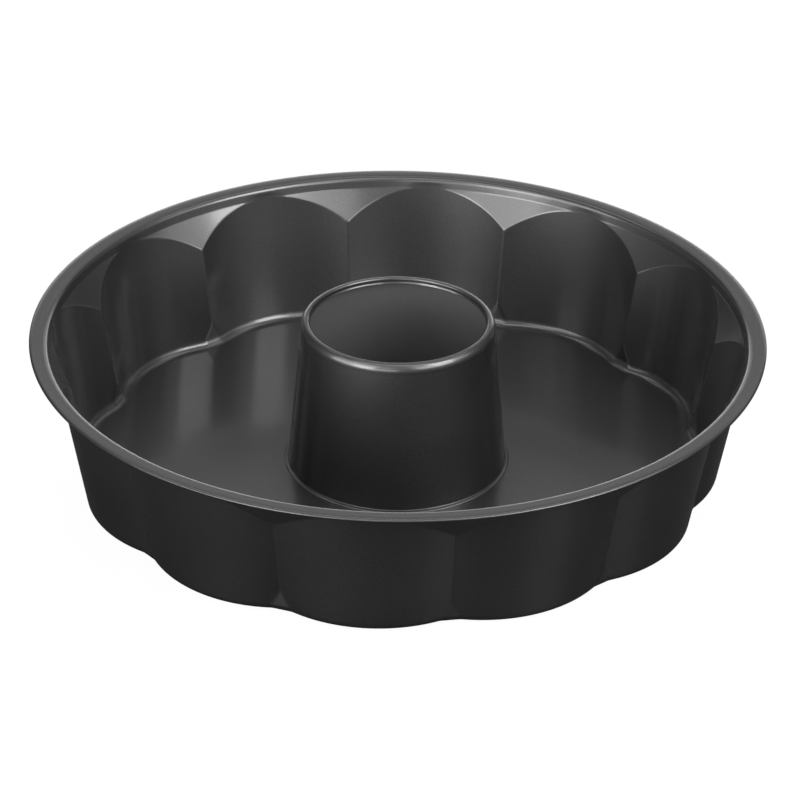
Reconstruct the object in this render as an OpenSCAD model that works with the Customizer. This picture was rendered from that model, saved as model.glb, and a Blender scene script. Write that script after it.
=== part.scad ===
// Round fluted ring cake pan in two pieces of sheet steel.
// A pressed pan body with round lobes and a folded rim carries a tapered centre tube,
// whose foot is clinched through a hole in the floor.
// Millimetres, +Z up. The origin is on the pan's axis, on the surface the pan stands on,
// and one lobe is centred on +X.

/* [Overall] */
// Outside diameter over the rim
rim_d = 280; // [266:1:300]
// Height of the rim's top above the table
pan_h = 57.2; // [48:0.1:70]
// Thickness of the sheet steel
sheet_t = 0.6; // [0.4:0.05:0.8]

/* [Rim] */
// Width from the rim's outer edge to the inside of the band under it
rim_w = 7.7; // [7.2:0.1:10]
// Radius of the turn from the band into the rim, on the inside of the pan
rim_turn_r = 2; // [1.2:0.1:2.2]
// Width of the edge folded back under the rim
hem_w = 4.2; // [2.5:0.1:4.6]
// Slit left inside the folded edge
hem_gap = 0.3; // [0.1:0.05:0.5]
// Height of the band, from the top of the shoulder to the rim's top
band_h = 4.3; // [3.6:0.1:8]

/* [Lobed wall] */
// Number of round lobes in the wall
lobe_count = 12; // [10:1:14]
// Inside radius of a lobe at the top of the shoulder
lobe_r = 59.3; // [54:0.1:64]
// How far the top of a lobe would reach past the band, which trims it
lobe_reach = 0.15; // [0.05:0.05:0.5]
// Lean of the lobe walls from upright, in degrees
wall_lean = 10.1; // [6:0.1:13]
// Lean of the shoulder between the tops of the lobes, in degrees
shoulder_lean = 33; // [24:0.5:42]

/* [Floor] */
// Radius of the round between the floor and the wall, on the inside of the pan
floor_round_r = 3.5; // [2:0.1:6]
// Inner radius of the flat ring that the pan stands on
stand_ring_r = 104; // [80:1:106]
// Radius of the level middle of the floor, around the tube
seat_r = 47; // [45:0.5:60]
// Height of the tube's seam above the table
seam_lift = 0.25; // [0.1:0.05:0.8]

/* [Centre tube] */
// Height of the tube's top above the table
tube_h = 61.6; // [50:0.1:75]
// Outside diameter of the tube's wall where it meets the floor
tube_foot_d = 84.4; // [80:0.1:86]
// Outside diameter that the tube's wall would reach at its top
tube_top_d = 74; // [70:0.1:78]
// Width of the edge turned in at the top of the tube
lip_w = 2.8; // [2.4:0.1:4]
// Depth of the edge turned in at the top of the tube
lip_h = 2.4; // [2:0.1:5]
// Radius of the turned edge on its outer side
lip_outer_r = 1.8; // [1.2:0.1:2.2]
// Radius of the turned edge on its inner side
lip_inner_r = 0.9; // [0.85:0.05:1.2]
// Radius of the round between the tube's wall and its foot bead
foot_round_r = 1; // [0.5:0.1:1.5]
// How far the foot bead stands out from the tube's wall
bead_w = 1.3; // [1:0.1:2]
// How far the neck under the bead is drawn in from the tube's wall
neck_step = 1.2; // [0.8:0.1:2]
// Width of the flange clinched under the floor
clinch_w = 2.2; // [1.5:0.1:3]
// Radial clearance between the tube's neck and the hole in the floor
neck_clear = 0.05; // [0.02:0.01:0.1]

/* [Hidden] */
$fn = 144;

coating = [0.2, 0.2, 0.21];

// Overrun of every cut past the face it opens
cut_over = 1;
// Depth by which a round runs through the faces it meets, so that it cuts them cleanly
round_merge = 0.003;
// How far the middle of the form reaches past the lobes' axes, as a share of a lobe's radius
middle_share = 0.5;
// How far each lobe's wedge runs past its creases, in degrees
wedge_over = 3;

// Rim and band
rim_r = rim_d / 2;
band_r = rim_r - rim_w;
hem_r = sheet_t + hem_gap / 2;
shoulder_z = pan_h - band_h;
// Height above which the rim's own outline takes over from the lobes and the shoulder
takeover_z = shoulder_z + sheet_t;

// Lobes
lobe_pitch_r = band_r + lobe_reach - lobe_r;

// Floor, which rises inwards from the ring that stands on the table
crown = sheet_t + seam_lift;
seat_z = crown + sheet_t;

// Tube
tube_lean = atan((tube_foot_d - tube_top_d) / 2 / (tube_h - seat_z));
bead_h = 2 * sheet_t;
bead_r = tube_foot_d / 2 + bead_w;
neck_r = tube_foot_d / 2 - neck_step;
hole_r = neck_r + neck_clear;
clinch_r = neck_r + clinch_w;

// Radius of the tube's wall on its outside at a height
function tube_wall_r(z) = tube_top_d / 2 + (tube_h - z) * tan(tube_lean);

// Half section of one lobe, as a solid that is grow larger all round than the cavity,
// with a round between the floor and the leaning wall
module lobe_section(grow) {
    foot_z = sheet_t - grow;
    round_r = floor_round_r + grow;
    touch_r = round_r - round_merge;
    wall_r = lobe_r + grow / cos(wall_lean);
    base_r = wall_r - (shoulder_z - foot_z) * tan(wall_lean);
    round_x = base_r - touch_r * (1 - sin(wall_lean)) / cos(wall_lean);
    touch_x = round_x + touch_r * cos(wall_lean);
    touch_z = foot_z + touch_r * (1 - sin(wall_lean));
    top_x = wall_r + (pan_h - shoulder_z) * tan(wall_lean);
    intersection() {
        union() {
            polygon([[0, foot_z - round_merge], [round_x, foot_z - round_merge],
                     [touch_x, touch_z], [top_x, pan_h], [0, pan_h]]);
            translate([round_x, foot_z + touch_r]) circle(r = round_r);
        }
        translate([0, foot_z]) square([top_x + cut_over, pan_h - foot_z]);
    }
}

// One lobe, cut off a little past the creases beside it.
// It is placed without turning it, since it is round about its own axis.
module lobe(turn, grow) {
    near_r = lobe_pitch_r + middle_share * lobe_r / 2;
    far_r = rim_r + cut_over;
    spread = 180 / lobe_count + wedge_over;
    corners = [[near_r, -spread], [far_r, -spread], [far_r, 0], [far_r, spread], [near_r, spread]];
    intersection() {
        translate([lobe_pitch_r * cos(turn), lobe_pitch_r * sin(turn), 0])
            rotate_extrude() lobe_section(grow);
        translate([0, 0, -cut_over]) linear_extrude(height = pan_h + 2 * cut_over)
            polygon([for (c = corners) [c[0] * cos(turn + c[1]), c[0] * sin(turn + c[1])]]);
    }
}

// The lobes, the middle that joins them and the shoulder cone that cuts across their tops,
// grown all round by the given amount
module lobed_form(grow) {
    shoulder_foot_z = sheet_t + floor_round_r;
    shoulder_r = band_r + grow / cos(shoulder_lean);
    for (i = [0 : lobe_count - 1]) lobe(i * 360 / lobe_count, grow);
    translate([0, 0, sheet_t - grow])
        cylinder(r = lobe_pitch_r + middle_share * lobe_r, h = pan_h - sheet_t + grow);
    translate([0, 0, shoulder_foot_z])
        cylinder(r1 = shoulder_r - (shoulder_z - shoulder_foot_z) * tan(shoulder_lean),
                 r2 = shoulder_r + band_h * tan(shoulder_lean),
                 h = pan_h - shoulder_foot_z);
    translate([0, 0, takeover_z])
        cylinder(r = rim_r + cut_over, h = band_h + cut_over);
}

// Half section of everything inside the rim's outer outline: band, turn, flange and hem
module rim_section() {
    band_outer_r = band_r + sheet_t;
    turn_r = rim_turn_r - sheet_t;
    difference() {
        union() {
            square([band_outer_r, pan_h]);
            translate([0, pan_h - sheet_t]) square([rim_r - hem_r, sheet_t]);
            translate([band_outer_r, pan_h - sheet_t - turn_r]) difference() {
                square(turn_r);
                translate([turn_r, 0]) circle(r = turn_r);
            }
            translate([rim_r - hem_r, pan_h - hem_r]) circle(r = hem_r);
            translate([rim_r - hem_w, pan_h - 2 * hem_r]) square([hem_w - hem_r, sheet_t]);
        }
        translate([rim_r - hem_r, pan_h - hem_r]) circle(r = hem_gap / 2);
        translate([rim_r - hem_w - cut_over, pan_h - sheet_t - hem_gap])
            square([hem_w - hem_r + cut_over, hem_gap]);
    }
}

// Half section of everything inside the mouth: the band's inner face and the round above it
module mouth_section() {
    translate([0, sheet_t - cut_over]) square([band_r, pan_h + 2 * cut_over]);
    translate([band_r, pan_h - rim_turn_r]) difference() {
        square([rim_turn_r, rim_turn_r + cut_over]);
        translate([rim_turn_r, 0]) circle(r = rim_turn_r);
    }
}

// Shallow mound that lifts the middle of the floor, with its foot at the given height
module floor_mound(foot_z) {
    rotate_extrude()
        polygon([[0, foot_z - cut_over], [stand_ring_r, foot_z - cut_over], [stand_ring_r, foot_z],
                 [seat_r, foot_z + crown], [0, foot_z + crown]]);
}

// Pressed shell: floor, lobed wall, shoulder, band and folded rim
module pan_body() {
    color(coating) difference() {
        intersection() {
            lobed_form(sheet_t);
            rotate_extrude() rim_section();
        }
        difference() {
            intersection() {
                lobed_form(0);
                rotate_extrude() mouth_section();
            }
            floor_mound(sheet_t);
        }
        floor_mound(0);
        translate([0, 0, -cut_over]) cylinder(r = hole_r, h = seat_z + 2 * cut_over);
    }
}

// Half section of the tube: turned-in lip, tapered wall, foot bead, neck and clinched flange
module tube_section() {
    wall_x = sheet_t / cos(tube_lean);
    lip_x = tube_top_d / 2 - lip_w;
    outer_x = tube_wall_r(tube_h - lip_outer_r) - lip_outer_r;
    inner_x = lip_x + lip_inner_r;
    outer_z = tube_h - lip_outer_r;
    inner_z = tube_h - lip_inner_r;
    bead_z = seat_z + bead_h;

    // Tapered wall
    polygon([[tube_wall_r(seat_z) - wall_x, seat_z], [tube_wall_r(seat_z), seat_z],
             [tube_wall_r(outer_z), outer_z], [tube_wall_r(outer_z) - wall_x, outer_z]]);

    // Edge turned in over the top and down on the inside
    difference() {
        union() {
            translate([outer_x, outer_z]) intersection() {
                circle(r = lip_outer_r);
                square(lip_outer_r);
            }
            translate([inner_x, inner_z]) intersection() {
                circle(r = lip_inner_r);
                translate([-lip_inner_r, 0]) square(lip_inner_r);
            }
            translate([inner_x, tube_h - sheet_t]) square([outer_x - inner_x, sheet_t]);
        }
        translate([outer_x, outer_z]) circle(r = lip_outer_r - sheet_t);
        translate([inner_x, inner_z]) circle(r = lip_inner_r - sheet_t);
    }
    translate([lip_x, tube_h - lip_h]) square([sheet_t, lip_h - lip_inner_r]);

    // Foot bead, which is the sheet folded out and pressed flat on the floor
    translate([neck_r - sheet_t, seat_z]) square([bead_r - neck_r, sheet_t]);
    translate([tube_wall_r(bead_z) - wall_x, seat_z])
        square([bead_r - sheet_t - tube_wall_r(bead_z) + wall_x, bead_h]);
    translate([bead_r - sheet_t, seat_z + sheet_t]) circle(r = sheet_t);
    translate([tube_wall_r(bead_z), bead_z]) difference() {
        translate([-wall_x / 2, 0]) square([foot_round_r + wall_x / 2, foot_round_r]);
        translate([foot_round_r, foot_round_r]) circle(r = foot_round_r);
    }

    // Neck through the floor and the flange clinched under it
    translate([neck_r - sheet_t, crown - sheet_t]) square([sheet_t, 3 * sheet_t]);
    translate([neck_r - sheet_t, crown - sheet_t]) square([clinch_w + sheet_t / 2, sheet_t]);
    translate([clinch_r - sheet_t / 2, crown - sheet_t / 2]) circle(r = sheet_t / 2);
}

// Tapered tube with a turned-in lip, clinched into the floor
module centre_tube() {
    color(coating) rotate_extrude() tube_section();
}

pan_body();
centre_tube();
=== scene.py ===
import math

import bpy
import numpy as np
from mathutils import Matrix, Vector


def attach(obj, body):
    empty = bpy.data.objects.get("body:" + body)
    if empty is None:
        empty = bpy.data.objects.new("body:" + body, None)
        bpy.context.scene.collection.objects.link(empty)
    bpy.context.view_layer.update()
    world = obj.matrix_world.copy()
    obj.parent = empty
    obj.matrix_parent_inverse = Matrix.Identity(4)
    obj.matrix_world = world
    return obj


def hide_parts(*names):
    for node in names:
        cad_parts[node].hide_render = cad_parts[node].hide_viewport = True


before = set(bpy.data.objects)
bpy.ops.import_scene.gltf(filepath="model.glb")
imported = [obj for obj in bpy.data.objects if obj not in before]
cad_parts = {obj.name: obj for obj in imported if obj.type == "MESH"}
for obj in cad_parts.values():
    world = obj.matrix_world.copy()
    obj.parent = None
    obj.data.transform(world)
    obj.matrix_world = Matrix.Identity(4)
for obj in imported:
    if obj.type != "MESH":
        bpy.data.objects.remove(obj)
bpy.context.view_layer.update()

# Sizes in millimetres, as in the part's source
RIM_R = 140.0
PAN_H = 57.2
SHEET = 0.6
RIM_W = 7.7
HEM_W = 4.2
HEM_GAP = 0.3
BAND_H = 4.3
LOBES = 12
LOBE_R = 59.3
LOBE_REACH = 0.15
WALL_LEAN = math.radians(10.1)
SHOULDER_LEAN = math.radians(33)
ROUND_R = 3.5
STAND_R = 104.0
SEAT_R = 47.0
SEAM_LIFT = 0.25
TUBE_H = 61.6
FOOT_D = 84.4
TOP_D = 74.0
LIP_H = 2.4
LIP_IN_R = 0.88
BEAD_W = 1.3
NECK_STEP = 1.2
CLINCH_W = 2.2
NECK_CLEAR = 0.05

# Finer forms of the pressed sheet, which the solids leave out: the rim's softer turn and edge, the band's
# lean and how far the shoulder runs out into it, the flat spots at the feet of the creases, the tube's
# round lip and thin foot bead, and small eases along edges
TURN_R = 2.1
TURN_X = 134.9
TURN_SOFT = 0.9
EDGE_SOFT = 2.2
BAND_LEAN = math.radians(14)
FADE_H = 1.8
FLAT_R = 118.8
LIP_W = 3.05
LIP_DROP = 3.6
LIP_FLARE = 0.35
FOOT_TURN = 0.4
BEAD_H = 0.5
BEAD_SOFT = 1.0
EASE = 0.1

# The lip's inner edge on either side of the sheet, and the corner under the neck, as steps of width and
# height. The lip's widths are shares of its flare.
FLARE_OUT = ((0.35, 0.45), (0.08, 0.75), (0, 1.05))
FLARE_IN = ((0, 1.05), (0.35, 0.4))
NECK_CORNER = ((0.3, 0.03), (0.1, 0.15), (0, 0.4))

# Sizes worked out from those above
MM_PER_M = 1000
BAND_R = RIM_R - RIM_W
HEM_R = SHEET + HEM_GAP / 2
SHOULDER_Z = PAN_H - BAND_H
PITCH_R = BAND_R + LOBE_REACH - LOBE_R
CROWN = SHEET + SEAM_LIFT
SEAT_Z = CROWN + SHEET
NECK_R = FOOT_D / 2 - NECK_STEP
HOLE_R = NECK_R + NECK_CLEAR
TUBE_SLOPE = (FOOT_D - TOP_D) / 2 / (TUBE_H - SEAT_Z)
TUBE_WALL = SHEET / math.cos(math.atan(TUBE_SLOPE))
LIP_X = TOP_D / 2 - LIP_W
LIP_IN_X = LIP_X + LIP_IN_R
LIP_IN_Z = TUBE_H - LIP_IN_R
LIP_OUT_Z = TUBE_H - LIP_DROP
LIP_LOW = TUBE_H - LIP_H

# Heights between which the crossing of lobes and shoulder is looked for, and how often they are halved
CROSS_LOW = 8.0
CROSS_OVER = 2
HALVINGS = 40

# Where the mesh has its rows: radii on the floor, degrees from a crease, heights above the floor's round,
# about an arch's edge and about the shoulder's upper corner, shares of the way between those, and heights
# on the tube's wall
FLOOR_ROWS = (HOLE_R, 44.0, 47.0, 50.0, 54.0, 59.0, 65.0, 71.0, 78.0, 85.0, 91.0, 96.0, 100.0, STAND_R)
STAND_SHARES = (0.35, 0.7)
ROUND_ROWS = 12
CREASE_ROWS = (0, 0.09, 0.18, 0.27, 0.4, 0.55, 0.75, 0.95, 1.15, 1.35, 1.6, 1.85, 2.1, 2.35, 2.65, 3, 3.5,
               4.1, 4.8, 5.5, 6.2, 6.9, 7.6, 8.2, 8.8, 9.4, 9.9, 10.3, 10.7, 11.1, 11.5, 11.9, 12.4, 12.9,
               13.4, 14, 14.5)
ROW_GAP = 0.4
FOOT_ROWS = (0, 0.7, 1.4, 2.1, 2.8, 3.5, 4.2, 4.9, 5.6, 6.3, 7, 7.7, 8.6)
WALL_SHARES = (0.1, 0.22, 0.36, 0.5, 0.64, 0.78, 0.9, 1)
ARCH_ROWS = (-0.55, -0.3, -0.1, 0.1, 0.3, 0.55, 0.9)
SHOULDER_SHARES = (0.2, 0.4, 0.6, 0.8, 1)
ARCH_OVER = 0.2
CORNER_GAP = 0.75
CORNER_ROWS = (-0.55, -0.35, -0.15, 0, 0.15, 0.35, 0.55)
BAND_SHARES = (0.2, 0.4, 0.6, 0.8)
TUBE_GAP = 0.5
TUBE_ROWS = (50, 40, 30, 20, 10)
BORE_ROWS = (12, 24, 36, 48)
LEAST_STEP = 0.02
TUBE_SIDES = 256
SHARP_ANGLE = math.radians(40)


# Smooth maximum and minimum, which round the edge where two surfaces meet
def smax(a, b, width):
    gap = np.abs(a - b)
    return np.maximum(a, b) + np.where(gap < width, (width - gap) ** 2 / (4 * width), 0)


def smin(a, b, width):
    return -smax(-a, -b, width)


# Angles over one lobe from its middle, closest together at the creases and the arch tips
def lobe_angles():
    half = [180 / LOBES - a for a in CREASE_ROWS]
    return np.radians(np.array([-a for a in half] + [0] + half[:0:-1]))


over_lobe = lobe_angles()
pan_angles = np.concatenate([over_lobe + k * 2 * math.pi / LOBES for k in range(LOBES)])
tube_angles = np.linspace(0, 2 * math.pi, TUBE_SIDES, endpoint=False)
own = np.tile(np.abs(over_lobe), LOBES)
ones = np.ones(len(pan_angles))


# Distance from the pan's axis to a circle of the given radius round a lobe's axis
def reach(angle, radius):
    side = PITCH_R * np.sin(angle)
    return PITCH_R * np.cos(angle) + np.sqrt(np.maximum(radius ** 2 - side ** 2, 1))


# Half width and height of the turn from the band to the flat rim
def turn_size(grow):
    return TURN_R + TURN_SOFT - grow, TURN_R - grow


# Where the turn meets the leaning band, as an angle from the turn's axis and as a point
def turn_angle(grow):
    width, height = turn_size(grow)
    return math.atan(math.tan(BAND_LEAN) * height / width)


def turn_end(grow):
    width, height = turn_size(grow)
    a = turn_angle(grow)
    return TURN_X + TURN_SOFT - width * math.cos(a), PAN_H - TURN_R + height * math.sin(a)


# One side of the pressed wall. grow is 0 for the inside and the sheet's thickness for the outside, and
# crease, arch, corner and flat are the widths of its rounded edges.
class Side:
    def __init__(self, grow, crease, arch, corner, flat):
        self.grow, self.crease, self.arch, self.corner, self.flat = grow, crease, arch, corner, flat
        self.foot_z = SHEET - grow
        self.round_r = ROUND_R + grow
        self.wall_r = LOBE_R + grow / math.cos(WALL_LEAN)
        self.cone_r = BAND_R + grow / math.cos(SHOULDER_LEAN)
        self.flat_r = FLAT_R + grow
        self.end_r, self.end_z = turn_end(grow)
        base = self.wall_r - (SHOULDER_Z - self.foot_z) * math.tan(WALL_LEAN)
        self.round_x = base - self.round_r * (1 - math.sin(WALL_LEAN)) / math.cos(WALL_LEAN)
        self.touch_z = self.foot_z + self.round_r * (1 - math.sin(WALL_LEAN))

    # The lobes, cut by an upright flat spot across each crease near the floor
    def lobes(self, radius):
        drop = max(self.lobe_radius(self.touch_z) - np.min(radius), 0)
        other = 2 * math.pi / LOBES - own
        flat = (self.flat_r - drop) / np.cos(math.pi / LOBES - own)
        return smax(smax(reach(own, radius), reach(other, radius), self.crease), flat, self.flat)

    def lobe_radius(self, z):
        return self.wall_r - (SHOULDER_Z - z) * math.tan(WALL_LEAN)

    def cone(self, z):
        return self.cone_r - (SHOULDER_Z - z) * math.tan(SHOULDER_LEAN)

    def band(self, z):
        return self.end_r - (self.end_z - z) * math.tan(BAND_LEAN)

    # The wall's radius at a height, which runs out into the band just below the rim's turn
    def at(self, z):
        shoulder = smin(self.cone(z), self.band(z), self.corner)
        wall = smax(self.lobes(self.lobe_radius(z)), shoulder, self.arch)
        fade = np.clip((self.end_z - z) / FADE_H, 0, 1)
        return self.band(z) + (wall - self.band(z)) * fade * fade * (3 - 2 * fade)

    # Height at which the lobes cross the cone, found by halving
    def crossing(self):
        low, high = ones * CROSS_LOW, ones * (SHOULDER_Z + CROSS_OVER)
        for _ in range(HALVINGS):
            mid = (low + high) / 2
            below = reach(own, self.lobe_radius(mid)) < self.cone(mid)
            low, high = np.where(below, low, mid), np.where(below, mid, high)
        return low

    # The floor's round, which turns up into the wall
    def round_rows(self):
        out = []
        for a in np.linspace(0, math.pi / 2 - WALL_LEAN, ROUND_ROWS):
            radius = self.round_x + self.round_r * math.sin(a)
            z = self.foot_z + self.round_r * (1 - math.cos(a))
            out.append((self.lobes(radius), ones * z))
        return out

    # The wall, the arches, the shoulder and the band, from the floor's round up
    def wall_rows(self):
        slope = math.tan(SHOULDER_LEAN) - math.tan(BAND_LEAN)
        corner_z = self.end_z - (self.cone(self.end_z) - self.end_r) / slope
        arch_z = np.minimum(self.crossing(), corner_z + ARCH_OVER)
        zs = [ones * (self.touch_z + ROW_GAP) + up for up in FOOT_ROWS]
        low, high = zs[-1], arch_z - ARCH_ROWS[-1]
        zs += [low + (high - low) * share for share in WALL_SHARES]
        zs += [arch_z + up for up in ARCH_ROWS]
        low, high = arch_z + ARCH_ROWS[-1], corner_z - CORNER_GAP
        zs += [low + (high - low) * share for share in SHOULDER_SHARES]
        zs += [ones * (corner_z + up) for up in CORNER_ROWS]
        low, high = corner_z + CORNER_ROWS[-1], self.end_z
        zs += [ones * (low + (high - low) * share) for share in BAND_SHARES]
        return [(self.at(z), z) for z in np.sort(np.array(zs), axis=0)]

    # The floor from the tube's hole to the floor's round
    def floor_rows(self):
        edge = self.lobes(self.round_x)
        rows = [(ones * r, ones * (floor_z(r) - self.grow)) for r in FLOOR_ROWS]
        rows += [(STAND_R + (edge - STAND_R) * share, ones * self.foot_z) for share in STAND_SHARES]
        return rows + [(edge - ROW_GAP, ones * self.foot_z)]

    def rows(self):
        return self.floor_rows() + self.round_rows() + self.wall_rows()


inner = Side(0.0, crease=0.45, arch=0.22, corner=0.13, flat=0.4)
outer = Side(SHEET, crease=0.3, arch=0.18, corner=0.13, flat=0.35)


# Height of the floor's top above the table at a radius
def floor_z(r):
    t = np.clip((r - SEAT_R) / (STAND_R - SEAT_R), 0, 1)
    return SHEET + CROWN * (1 - t * t * (3 - 2 * t))


# Points of an oval or an arc in a half section, from one angle to another, in degrees
def oval(cx, cz, width, height, start, end, count):
    return [(cx + width * math.cos(math.radians(a)), cz + height * math.sin(math.radians(a)))
            for a in np.linspace(start, end, count)]


def arc(cx, cz, r, start, end, count):
    return oval(cx, cz, r, r, start, end, count)


# The rim's half section, from the top of the inner band over the flat and round the folded edge
def rim_points():
    turn_x, turn_z = TURN_X + TURN_SOFT, PAN_H - TURN_R
    lean_in = 180 - math.degrees(turn_angle(0))
    lean_out = 180 - math.degrees(turn_angle(SHEET))
    hem_x, hem_z, hem_end = RIM_R - HEM_R, PAN_H - HEM_R, RIM_R - HEM_W
    hem_low, under = PAN_H - 2 * HEM_R, PAN_H - SHEET
    pts = oval(turn_x, turn_z, *turn_size(0), lean_in, 90, 16)
    pts += oval(RIM_R - EDGE_SOFT, hem_z, EDGE_SOFT, HEM_R, 90, 6, 16)
    pts += arc(hem_x, hem_z, HEM_R, 0, -90, 7)
    pts += [(hem_x - 3 * EASE, hem_low), (hem_end + EASE, hem_low), (hem_end, hem_low + EASE)]
    pts += [(hem_end, under - HEM_GAP), (hem_x - 2 * EASE, under - HEM_GAP)]
    pts += arc(hem_x, hem_z, HEM_GAP / 2, -90, 90, 5)
    pts += [(hem_end, under)]
    return pts + oval(turn_x, turn_z, *turn_size(SHEET), 90, lean_out, 10)


def pan_rows():
    rim = [(ones * r, ones * z) for r, z in rim_points()]
    return inner.rows() + rim + outer.rows()[::-1]


# The tube's outer radius at a height
def tube_r(z):
    return TOP_D / 2 + (TUBE_H - z) * TUBE_SLOPE


# The tube's outside, from the lip's inner edge over the lip and down to the foot bead
def tube_outside():
    pts = arc(LIP_X + EASE - LIP_FLARE, LIP_LOW + EASE, EASE, 270, 150, 4)
    pts += [(LIP_X - LIP_FLARE * share, LIP_LOW + up) for share, up in FLARE_OUT]
    pts += arc(LIP_IN_X, LIP_IN_Z, LIP_IN_R, 180, 90, 10)
    pts += oval(LIP_IN_X, LIP_OUT_Z, tube_r(LIP_OUT_Z) - LIP_IN_X, LIP_DROP, 86, 3, 20)
    turn_z = SEAT_Z + BEAD_H + FOOT_TURN
    pts += [(tube_r(z), z) for z in (LIP_OUT_Z, LIP_OUT_Z - TUBE_GAP) + TUBE_ROWS + (turn_z + TUBE_GAP,)]
    turn_x = tube_r(turn_z) + FOOT_TURN
    pts += arc(turn_x, turn_z, FOOT_TURN, 180, 270, 7)
    bead_x = max(FOOT_D / 2 + BEAD_W - BEAD_SOFT, turn_x + LEAST_STEP)
    return pts + oval(bead_x, SEAT_Z, BEAD_SOFT, BEAD_H, 88, 0, 10)


# The neck through the floor's hole and the flange clinched under the floor
def clinch_points():
    clinch_x, clinch_z = NECK_R + CLINCH_W - SHEET / 2, CROWN - SHEET / 2
    neck_in, low_z = NECK_R - SHEET, CROWN - SHEET
    pts = [(NECK_R + EASE, SEAT_Z), (NECK_R, SEAT_Z - EASE)]
    pts += [(NECK_R, CROWN + EASE / 2), (NECK_R + EASE / 2, CROWN), (clinch_x - 2 * EASE, CROWN)]
    pts += arc(clinch_x, clinch_z, SHEET / 2, 90, -90, 7)
    pts += [(NECK_R, low_z)] + [(neck_in + out, low_z + up) for out, up in NECK_CORNER]
    return pts + [(neck_in, SEAT_Z + SHEET - 2 * EASE)]


# The tube's inside, from the fold above the neck up to the lip's inner edge
def tube_inside():
    fold_z = SEAT_Z + SHEET
    pts = [(NECK_R - SHEET + 1.5 * EASE, fold_z), (tube_r(fold_z) - TUBE_WALL - EASE, fold_z + EASE)]
    pts += [(tube_r(z) - TUBE_WALL, z) for z in (fold_z + TUBE_GAP,) + BORE_ROWS + (LIP_OUT_Z,)]
    span = tube_r(LIP_OUT_Z) - LIP_IN_X - TUBE_WALL
    pts += oval(LIP_IN_X, LIP_OUT_Z, span, LIP_DROP - SHEET, 3, 86, 20)
    pts += arc(LIP_IN_X, LIP_IN_Z, LIP_IN_R - SHEET, 90, 180, 5)
    edge_x = LIP_X + SHEET
    pts += [(edge_x - LIP_FLARE * share, LIP_LOW + up) for share, up in FLARE_IN]
    return pts + [(edge_x - LIP_FLARE, LIP_LOW + EASE), (edge_x - LIP_FLARE - EASE, LIP_LOW)]


def tube_rows():
    points = tube_outside() + clinch_points() + tube_inside()
    return [(r + 0 * tube_angles, z + 0 * tube_angles) for r, z in points]


# Turns rows of radius and height into a closed mesh, with its faces outwards
def ring_mesh(name, rows, angles):
    r = np.array([row[0] for row in rows]) / MM_PER_M
    z = np.array([row[1] for row in rows]) / MM_PER_M
    co = np.stack([r * np.cos(angles), r * np.sin(angles), z], axis=2).reshape(-1, 3)
    n, m = r.shape
    i, j = np.meshgrid(np.arange(n), np.arange(m), indexing="ij")
    i2, j2 = (i + 1) % n, (j + 1) % m
    faces = np.stack([i * m + j, i2 * m + j, i2 * m + j2, i * m + j2], axis=2).reshape(-1, 4)
    mesh = bpy.data.meshes.new(name)
    mesh.from_pydata(co.tolist(), [], faces.tolist())
    mesh.validate()
    mesh.shade_smooth()
    mesh.set_sharp_from_angle(angle=SHARP_ANGLE)
    obj = bpy.data.objects.new(name, mesh)
    bpy.context.scene.collection.objects.link(obj)
    return obj


pan = ring_mesh("pan_shell", pan_rows(), pan_angles)
tube = ring_mesh("tube_shell", tube_rows(), tube_angles)


# 1 on the tube's inner side below its lip, 0 elsewhere
def inner_side(nodes, links, place):
    def step(operation, first, second):
        node = nodes.new("ShaderNodeMath")
        node.operation = operation
        for socket, value in zip(node.inputs, (first, second)):
            if isinstance(value, float):
                socket.default_value = value
            else:
                links.new(value, socket)
        return node.outputs[0]

    flat = nodes.new("ShaderNodeVectorMath")
    flat.operation = "MULTIPLY"
    flat.inputs[1].default_value = (1, 1, 0)
    links.new(place, flat.inputs[0])
    size = nodes.new("ShaderNodeVectorMath")
    size.operation = "LENGTH"
    links.new(flat.outputs[0], size.inputs[0])
    split = nodes.new("ShaderNodeSeparateXYZ")
    links.new(place, split.inputs[0])
    cone = step("ADD", size.outputs["Value"], step("MULTIPLY", split.outputs["Z"], TUBE_SLOPE))
    within = step("LESS_THAN", cone, (TOP_D / 2 + TUBE_H * TUBE_SLOPE - SHEET / 2) / MM_PER_M)
    return step("MULTIPLY", within, step("LESS_THAN", split.outputs["Z"], LIP_LOW / MM_PER_M))


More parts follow.
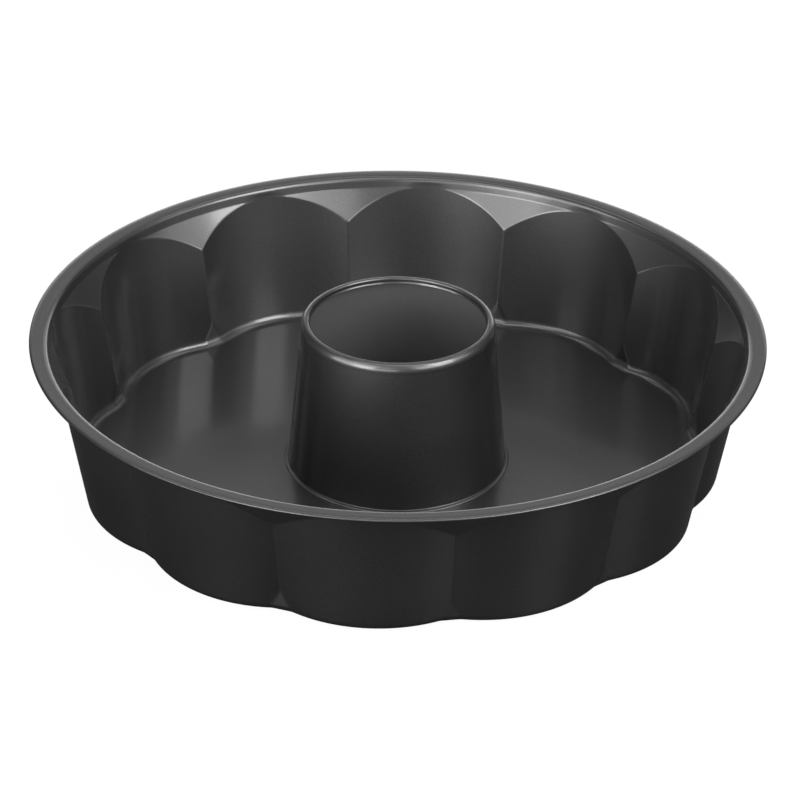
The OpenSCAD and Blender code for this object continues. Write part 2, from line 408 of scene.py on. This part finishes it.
# Dark non-stick coating: fine metallic grey grain under a smoother clear layer. In the tube below its lip
# the grey is lighter and not metallic, as painted light that brightens the bore.
def coating():
    mat = bpy.data.materials.new("nonstick_coating")
    mat.use_nodes = True
    nodes, links = mat.node_tree.nodes, mat.node_tree.links
    shader = nodes["Principled BSDF"]
    coord = nodes.new("ShaderNodeTexCoord")

    def noise(scale, detail):
        tex = nodes.new("ShaderNodeTexNoise")
        tex.inputs["Scale"].default_value = scale
        tex.inputs["Detail"].default_value = detail
        links.new(coord.outputs["Object"], tex.inputs["Vector"])
        return tex.outputs["Fac"]

    def span(source, low, high):
        ramp = nodes.new("ShaderNodeMapRange")
        ramp.inputs["From Min"].default_value = 0.3
        ramp.inputs["From Max"].default_value = 0.7
        ramp.inputs["To Min"].default_value = low
        ramp.inputs["To Max"].default_value = high
        links.new(source, ramp.inputs["Value"])
        return ramp.outputs["Result"]

    grain, cloud = noise(2200, 3), noise(26, 4)
    # Mask of the tube's bore below its lip, where a lighter, non-metallic grey is painted light brightening
    # the inside
    painted_bore_light = inner_side(nodes, links, coord.outputs["Object"])
    shade = nodes.new("ShaderNodeMix")
    links.new(painted_bore_light, shade.inputs["Factor"])
    links.new(span(grain, 0.048, 0.066), shade.inputs["A"])
    # The bore's lighter grey, painted light
    links.new(span(grain, 0.058, 0.076), shade.inputs["B"])
    links.new(shade.outputs["Result"], shader.inputs["Base Color"])
    # Metallic everywhere except the bore, whose matte grey is part of the painted light
    metal = nodes.new("ShaderNodeMath")
    metal.operation = "SUBTRACT"
    metal.inputs[0].default_value = 1
    links.new(painted_bore_light, metal.inputs[1])
    links.new(metal.outputs[0], shader.inputs["Metallic"])
    links.new(span(cloud, 0.49, 0.54), shader.inputs["Roughness"])
    bump = nodes.new("ShaderNodeBump")
    bump.inputs["Strength"].default_value = 0.05
    bump.inputs["Distance"].default_value = 0.00005
    links.new(grain, bump.inputs["Height"])
    links.new(bump.outputs["Normal"], shader.inputs["Normal"])
    shader.inputs["Coat Weight"].default_value = 1
    shader.inputs["Coat Roughness"].default_value = 0.17
    shader.inputs["Coat IOR"].default_value = 1.5
    return mat


coat = coating()
for obj, node in ((pan, "pan_body"), (tube, "centre_tube")):
    obj.data.materials.append(coat)
    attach(obj, "root")
    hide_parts(node)


# A value for light bouncing off things, one for what glossy surfaces show and one for what the camera sees
def seen_level(nodes, links, plain, glossy, camera):
    path = nodes.new("ShaderNodeLightPath")
    level = plain
    for ray, value in (("Is Glossy Ray", glossy), ("Is Camera Ray", camera)):
        mix = nodes.new("ShaderNodeMix")
        links.new(path.outputs[ray], mix.inputs["Factor"])
        if isinstance(level, float):
            mix.inputs["A"].default_value = level
        else:
            links.new(level, mix.inputs["A"])
        mix.inputs["B"].default_value = value
        level = mix.outputs["Result"]
    return level


# Floor, white to the camera and keeping the object's shadow
def floor_material():
    mat = bpy.data.materials.new("studio_floor")
    mat.use_nodes = True
    nodes, links = mat.node_tree.nodes, mat.node_tree.links
    nodes.clear()
    out = nodes.new("ShaderNodeOutputMaterial")
    diffuse = nodes.new("ShaderNodeBsdfDiffuse")
    diffuse.inputs["Color"].default_value = (0.03, 0.03, 0.03, 1)
    shine = nodes.new("ShaderNodeBsdfGlossy")
    shine.inputs["Color"].default_value = (0.02, 0.02, 0.02, 1)
    shine.inputs["Roughness"].default_value = 0.3
    glow = nodes.new("ShaderNodeEmission")
    links.new(seen_level(nodes, links, plain=0.0, glossy=0.0, camera=0.96), glow.inputs["Strength"])
    surface = nodes.new("ShaderNodeAddShader")
    both = nodes.new("ShaderNodeAddShader")
    links.new(diffuse.outputs[0], surface.inputs[0])
    links.new(shine.outputs[0], surface.inputs[1])
    links.new(surface.outputs[0], both.inputs[0])
    links.new(glow.outputs[0], both.inputs[1])
    links.new(both.outputs[0], out.inputs["Surface"])
    return mat


# Floor in metres, a hair below the standing ring so that the two faces don't share a plane
def studio_floor():
    half, drop = 4.0, 0.0001
    corners = [(-half, -half, -drop), (half, -half, -drop), (half, half, -drop), (-half, half, -drop)]
    mesh = bpy.data.meshes.new("studio_floor")
    mesh.from_pydata(corners, [], [(0, 1, 2, 3)])
    mesh.materials.append(floor_material())
    floor = bpy.data.objects.new("studio_floor", mesh)
    bpy.context.scene.collection.objects.link(floor)


# World, white to the camera and dim elsewhere
def studio_world():
    world = bpy.data.worlds.new("studio")
    bpy.context.scene.world = world
    world.use_nodes = True
    nodes, links = world.node_tree.nodes, world.node_tree.links
    back = nodes["Background"]
    back.inputs["Color"].default_value = (1, 1, 1, 1)
    links.new(seen_level(nodes, links, plain=0.1, glossy=0.1, camera=1.0), back.inputs["Strength"])


studio_floor()
studio_world()


# Direction of an azimuth and an elevation in radians
def direction(azimuth, elevation):
    flat = math.cos(elevation)
    return Vector((flat * math.cos(azimuth), flat * math.sin(azimuth), math.sin(elevation)))


# All soft boxes stand at one distance from a point in the pan's middle, in metres
BOX_DISTANCE = 1.7
BOX_AIM = Vector((0, 0, 0.03))


# Soft box of even brightness, placed by azimuth and elevation and sized by the angles it fills, in degrees
def soft_box(name, azimuth, elevation, across, up, brightness):
    width = 2 * BOX_DISTANCE * math.tan(math.radians(across / 2))
    height = 2 * BOX_DISTANCE * math.tan(math.radians(up / 2))
    data = bpy.data.lights.new(name, "AREA")
    data.shape = "RECTANGLE"
    data.size, data.size_y = width, height
    data.energy = brightness * math.pi * width * height
    obj = bpy.data.objects.new(name, data)
    obj.location = BOX_AIM + BOX_DISTANCE * direction(math.radians(azimuth), math.radians(elevation))
    obj.rotation_euler = (BOX_AIM - obj.location).to_track_quat("-Z", "Y").to_euler()
    bpy.context.scene.collection.objects.link(obj)


soft_box("left_low_outer", 210, 12, 24, 24, 5.4)
soft_box("left_low_inner", 236, 12, 24, 24, 11.5)
soft_box("left_high_outer", 210, 36, 24, 22, 2.4)
soft_box("left_high_inner", 236, 36, 24, 22, 4.5)
soft_box("right_low_inner", 308, 22, 22, 16, 6.2)
soft_box("right_low_outer", 331, 22, 22, 16, 9.2)
soft_box("right_high_inner", 308, 42, 24, 22, 2.8)
soft_box("right_high_outer", 333, 42, 24, 22, 11.3)
soft_box("right_side", 356, 34, 20, 34, 1.7)
soft_box("front", 258, 32, 22, 18, 1.8)
soft_box("front_low", 262, 8, 26, 14, 4.5)
soft_box("back_low", 91, 5, 56, 9, 2.4)
soft_box("back", 92, 18, 60, 14, 0.93)
soft_box("back_high", 92, 42, 60, 24, 0.6)
soft_box("top_back", 92, 68, 70, 9, 3.2)
soft_box("top_front", 272, 74, 60, 12, 4.4)


# Turns a pair of values or directions, square to each other, by an angle in their plane
def turned(first, second, angle):
    cos, sin = math.cos(angle), math.sin(angle)
    return first * cos + second * sin, second * cos - first * sin


# Camera as solved from the photo: its place in the part's frame, its focal length in pixels, its roll, and
# the pixel at which the part's origin shows
def camera():
    picture, sensor = 800, 36
    azimuth, elevation, distance = math.radians(-90 + 5.235), math.radians(30.28), 1.4058
    focal, roll = 3617.7, math.radians(0.65)
    origin_u, origin_v = 396.55, 458.98
    place = distance * direction(azimuth, elevation)
    forward = -place.normalized()
    right = Vector((-math.sin(azimuth), math.cos(azimuth), 0))
    up = right.cross(forward)
    du, dv = turned(origin_u - picture / 2, origin_v - picture / 2, roll)
    yaw, pitch = math.atan2(du, focal), math.atan2(dv, math.hypot(focal, du))
    right, forward = turned(right, forward, yaw)
    forward, up = turned(forward, up, pitch)
    right, up = turned(right, up, roll)
    data = bpy.data.cameras.new("camera")
    data.sensor_width = sensor
    data.lens = focal / picture * sensor
    data.clip_start = 0.05
    obj = bpy.data.objects.new("camera", data)
    obj.matrix_world = Matrix((right, up, -forward)).transposed().to_4x4()
    obj.location = place
    bpy.context.scene.collection.objects.link(obj)
    bpy.context.scene.camera = obj


camera()

view = bpy.context.scene.view_settings
view.view_transform = "Standard"
